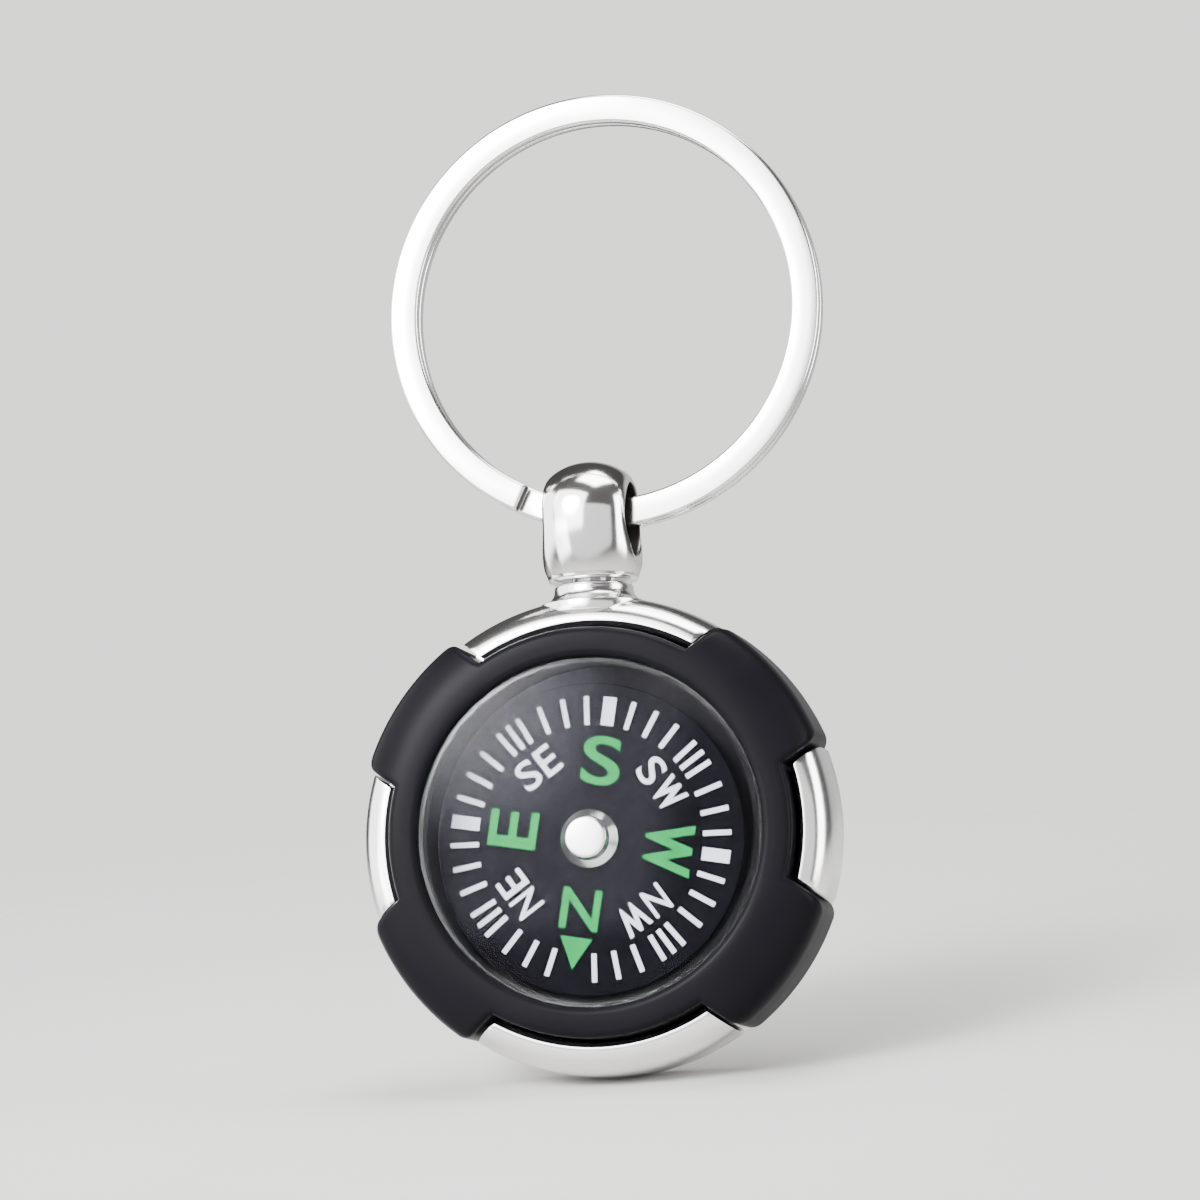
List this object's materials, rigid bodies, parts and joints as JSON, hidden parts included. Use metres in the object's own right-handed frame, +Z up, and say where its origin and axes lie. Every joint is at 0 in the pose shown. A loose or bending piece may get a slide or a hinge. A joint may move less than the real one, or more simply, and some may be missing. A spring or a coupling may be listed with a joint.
{
  "type": "compass keychain",
  "caption": "Split key ring with a swivel head that carries a round metal case, whose claws hold a lobed black compass capsule with a turning card under a clear lens.",
  "frame": {"origin": "the inside of the split ring straight above the swivel axis, where a hook, a finger or the keys carry it", "axes": "+Z up along the swivel axis, -Y the way the dial looks, +X to the right of someone reading the dial"},
  "size_m": [0.0329, 0.0101, 0.0674],
  "materials": {
    "bright_nickel": "polished",
    "satin_nickel": "satin",
    "plain_steel": "satin",
    "black_plastic": "satin",
    "clear_lens": "polished",
    "black_rubber": "matte",
    "foam_pad": "matte",
    "card_black": "matte",
    "magnet_grey": "matte",
    "jewel_red": "polished"
  },
  "bodies": {
    "ring": {"split_ring": "bright_nickel"},
    "head": {"swivel_head": "bright_nickel", "swivel_pin": "plain_steel", "pin_washer": "plain_steel"},
    "case": {"case": "satin_nickel", "capsule_bezel": "black_plastic", "lens": "clear_lens", "lens_gasket": "black_rubber", "capsule_base": "black_plastic", "adhesive_pad": "foam_pad", "pivot_needle": "plain_steel"},
    "card": {"dial_card": "card_black", "card_magnet": "magnet_grey", "hub_cap": "bright_nickel", "pivot_jewel": "jewel_red"}
  },
  "joints": [
    {"name": "ring_swing", "type": "hinge", "parent": "ring", "child": "head", "pos_m": [0, 0, -0.02696], "axis": [1, 0, 0], "range_deg": [-120, 120]},
    {"name": "case_swivel", "type": "hinge", "parent": "head", "child": "case", "pos_m": [0, 0, -0.03161], "axis": [0, 0, 1], "continuous": true},
    {"name": "card_spin", "type": "hinge", "parent": "case", "child": "card", "pos_m": [-0.0006, 0, -0.04931], "axis": [0, 1, 0], "continuous": true}
  ]
}
